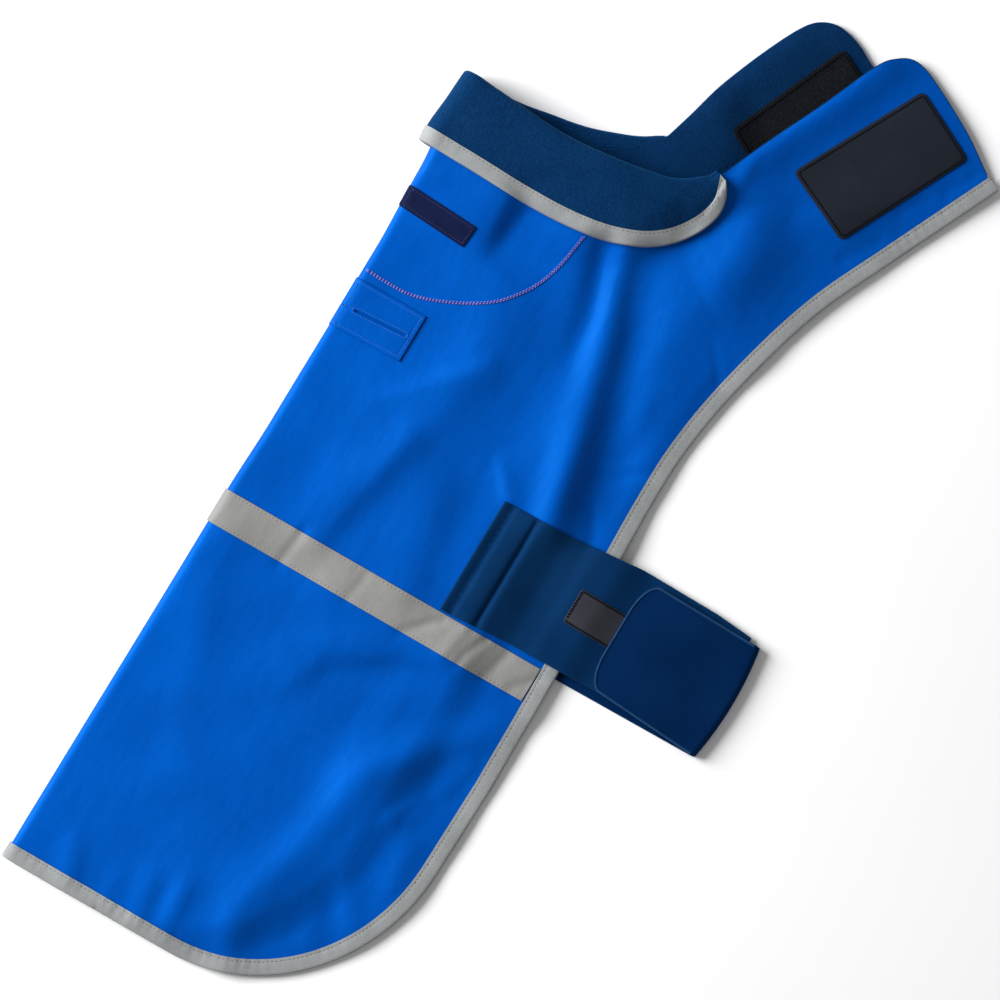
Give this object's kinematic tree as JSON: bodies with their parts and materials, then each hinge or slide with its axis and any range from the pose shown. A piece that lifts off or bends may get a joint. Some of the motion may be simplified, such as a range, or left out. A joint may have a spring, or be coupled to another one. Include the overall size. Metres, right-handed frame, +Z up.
{
  "type": "dog winter coat",
  "caption": "Winter coat for a large dog, laid flat on its side with the back folded: fleece collar, edge binding, tape round the body, chest flaps with a closure patch and a closed belly strap",
  "frame": {"origin": "on the surface that the coat lies on, under the middle of its outline", "axes": "+Y runs along the back from the tail hem to the neck, +X from the folded back to the belly, +Z up from the surface, out of the upper half of the coat"},
  "size_m": [0.3928, 0.8056, 0.0288],
  "materials": {
    "nylon": "royal blue woven nylon with a soft satin sheen",
    "fleece": "navy fleece, matt with a short nap",
    "collar_fleece": "navy fleece, matt with a short nap",
    "strap_fleece": "navy brushed fabric, matt",
    "binding": "warm grey woven edge binding, folded and stitched",
    "tape": "grey reflective tape, fine beaded satin",
    "label": "dark navy woven label, plain",
    "loop_closure": "near-black loop pile closure",
    "hook_closure": "black hook closure",
    "strap_closure": "dark warm grey closure square"
  },
  "bodies": {
    "root": {"shell": "nylon", "lining": "fleece", "edge_binding": "binding", "reflective_tape": "tape", "collar": "collar_fleece", "collar_binding": "binding", "label": "label", "leash_patch": "nylon", "flap_loop_patch": "loop_closure", "flap_hook_patch": "hook_closure", "strap_near": "strap_fleece", "strap_loop_patch": "strap_closure", "strap_far": "strap_fleece"}
  },
  "joints": []
}
